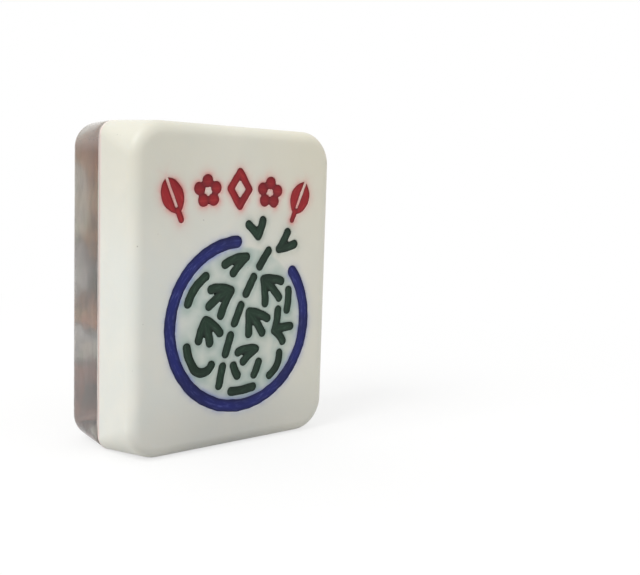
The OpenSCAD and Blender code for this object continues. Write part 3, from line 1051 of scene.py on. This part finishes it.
def clearMaterial():
    # Clear rear, sides in two greys by height with blots, greenish streaks and dark smears, grey edges
    s = Shader("clearPlastic")
    fine = s.noise(0.00035, 4.0, 0.65)
    broad = s.noise(0.004, 3.0, 0.5, 0.5)
    side = s.value("side")
    rough = slab["rearRoughness"] + side * (slab["sideRoughness"] - slab["rearRoughness"]) + fine * 0.06
    _, _, z = s.parts()
    s.colour = s.mix(z.step(0.003, 0.020), slab["sideTint"], slab["sideHigh"])
    s.lay(s.noise(0.0016, 3.0, 0.6).step(0.38, 0.62), slab["sideBlot"])
    streaks = s.noise(0.0010, stretch=(1, 1, 0.4)).step(0.46, 0.62)
    s.lay(streaks * 0.6, slab["sideGreen"])
    smears = s.noise(0.0008, 3.0, 0.5, 0.3, (1, 1, 0.3)).step(0.50, 0.66)
    s.lay(smears * 0.5, slab["sideDark"])
    s.colour = s.mix(side.step(0.2, 0.9), slab["rearTint"], s.colour)
    s.lay(s.value("fillet").step(0.35, 0.95) * 0.8, slab["edgeTint"])
    # Faint waves left by polishing, stronger on the sides
    height = fine * 0.2 + broad * 0.2 + s.noise(0.0013, 1.0, 0.5) * side
    glass = s.surface(rough, height, slab["ripple"], IOR=slab["ior"], Transmission_Weight=1.0,
                      Specular_IOR_Level=slab["shine"])
    # A worn skin over the plastic: sides a little milky, more so low down, a dull top and dull round
    # edges with chips and dirt
    grit = s.noise(0.00018, 1.0, 0.3)
    chip = grit.step(0.72, 0.76)
    dirt = 1 - grit.step(0.25, 0.29)
    high = z.step(0.0268, 0.0294)
    rounded = s.value("fillet").step(0.15, 0.9)
    milky = side.step(0.7, 1.0) * (0.11 - 0.08 * z.step(0.012, 0.024) + 0.43 * high)
    worn = milky.larger(rounded * 0.3)
    s.colour = s.mix(high.larger(rounded), slab["milky"], slab["dull"])
    s.lay(chip, slab["chipped"])
    s.lay(dirt, slab["dirty"])
    share = worn.larger((chip + dirt) * (0.06 + 0.44 * rounded))
    matt = s.surface(slab["skinRoughness"])
    return s.finish(s.node("MixShader", {}, {0: share, 1: glass, 2: matt}))


slabShell().piece("clearSlab", clearMaterial(), "clear_acrylic", "clear_back")


# Cured adhesive: a sheet before the film, and the band that shows around the film at the seam
glue = {"colour": tone(172, 150, 140), "milky": tone(150, 138, 128), "roughness": 0.4,
        "reach": (0.0, 0.0, 0.026, 0.026), "rise": (0.002, 0.046, 0.046, 0.002)}


def glueShell():
    insets = tile["layerInset"] + np.array(glue["reach"])
    return loopShell(insets, glue["rise"], [film["cornerR"]] * len(insets), True)


def glueMaterial():
    # Two near tones in soft blots
    s = Shader("curedAdhesive")
    blot = s.noise(0.0012)
    s.colour = s.mix(blot.step(0.35, 0.65), glue["colour"], glue["milky"])
    return s.finish(s.surface(glue["roughness"] + blot * 0.1))


glueFinish = glueMaterial()
glueShell().piece("seamBand", glueFinish, "adhesive", "back_adhesive")
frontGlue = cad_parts["front_adhesive"]
frontGlue.data.materials.clear()
frontGlue.data.materials.append(glueFinish)


# Floor, white surroundings and soft light
studio = {
    "ambient": 0.72, "lampSize": 0.30, "aim": (0, 0, 0.015),
    # Lamps: their power and place
    "lamps": {"keyLight": (1.7, (-0.39, -0.05, 0.41)), "fillLight": (0.19, (0.20, -0.40, 0.16)),
              "backLight": (0.16, (0.10, 0.50, 0.14))},
    "floorHalf": 1.2, "floorZ": -0.00002, "floorRoughness": 0.8, "floorShade": 0.32,
    "shadeReach": (0.02, 0.11), "floorSeen": tone(250, 250, 249), "floorLit": tone(190, 190, 188),
    "floorCloud": tone(225, 225, 224), "flag": tone(44, 44, 43), "flagPlace": (-0.001, -0.014, 0.0),
    "flagReach": (0.003, 0.013),
}


def floorMaterial():
    # The camera sees a pale floor, most of it plain white; the tile gets the light of a greyer one
    s = Shader("paleFloor")
    seen = s.seen()
    # A dark flag that the camera doesn't see keeps light off the foot of the face
    flag = 1 - s.far(studio["flagPlace"]).step(*studio["flagReach"])
    lit = s.mix(flag, studio["floorLit"], studio["flag"])
    s.colour = s.mix(seen, lit, studio["floorSeen"])
    s.lay(s.noise(0.05) * 0.1, studio["floorCloud"])
    plain = s.surface(studio["floorRoughness"])
    white = s.node("Emission", {}, {"Color": (1, 1, 1, 1), "Strength": 1.0})
    shade = (1 - s.far((0, 0, 0)).step(*studio["shadeReach"])) * studio["floorShade"]
    return s.finish(s.node("MixShader", {}, {0: seen * (1 - shade), 1: plain, 2: white}))


def addStudio():
    mesh = bpy.data.meshes.new("floor")
    half = studio["floorHalf"]
    corners = [(x * half, y * half, studio["floorZ"]) for x, y in ((-1, -1), (1, -1), (1, 1), (-1, 1))]
    mesh.from_pydata(corners, [], [(0, 1, 2, 3)])
    mesh.materials.append(floorMaterial())
    floor = bpy.data.objects.new("floor", mesh)
    scene.collection.objects.link(floor)
    for name, (power, spot) in studio["lamps"].items():
        lamp = bpy.data.lights.new(name, "AREA")
        lamp.energy = power
        lamp.size = studio["lampSize"]
        made = bpy.data.objects.new(name, lamp)
        made.location = spot
        aim = Vector(studio["aim"]) - made.location
        made.rotation_euler = aim.to_track_quat("-Z", "Y").to_euler()
        scene.collection.objects.link(made)
    # Plain white for the camera, dimmer as a light
    s = Shader("studio", "worlds")
    dim, full = [s.node("Background", {}, {"Color": (1, 1, 1, 1), "Strength": strength})
                 for strength in (studio["ambient"], 1.0)]
    mixed = s.node("MixShader", {}, {0: s.seen(), 1: dim, 2: full})
    scene.world = s.finish(mixed, "World")


addStudio()
print("studio lit")
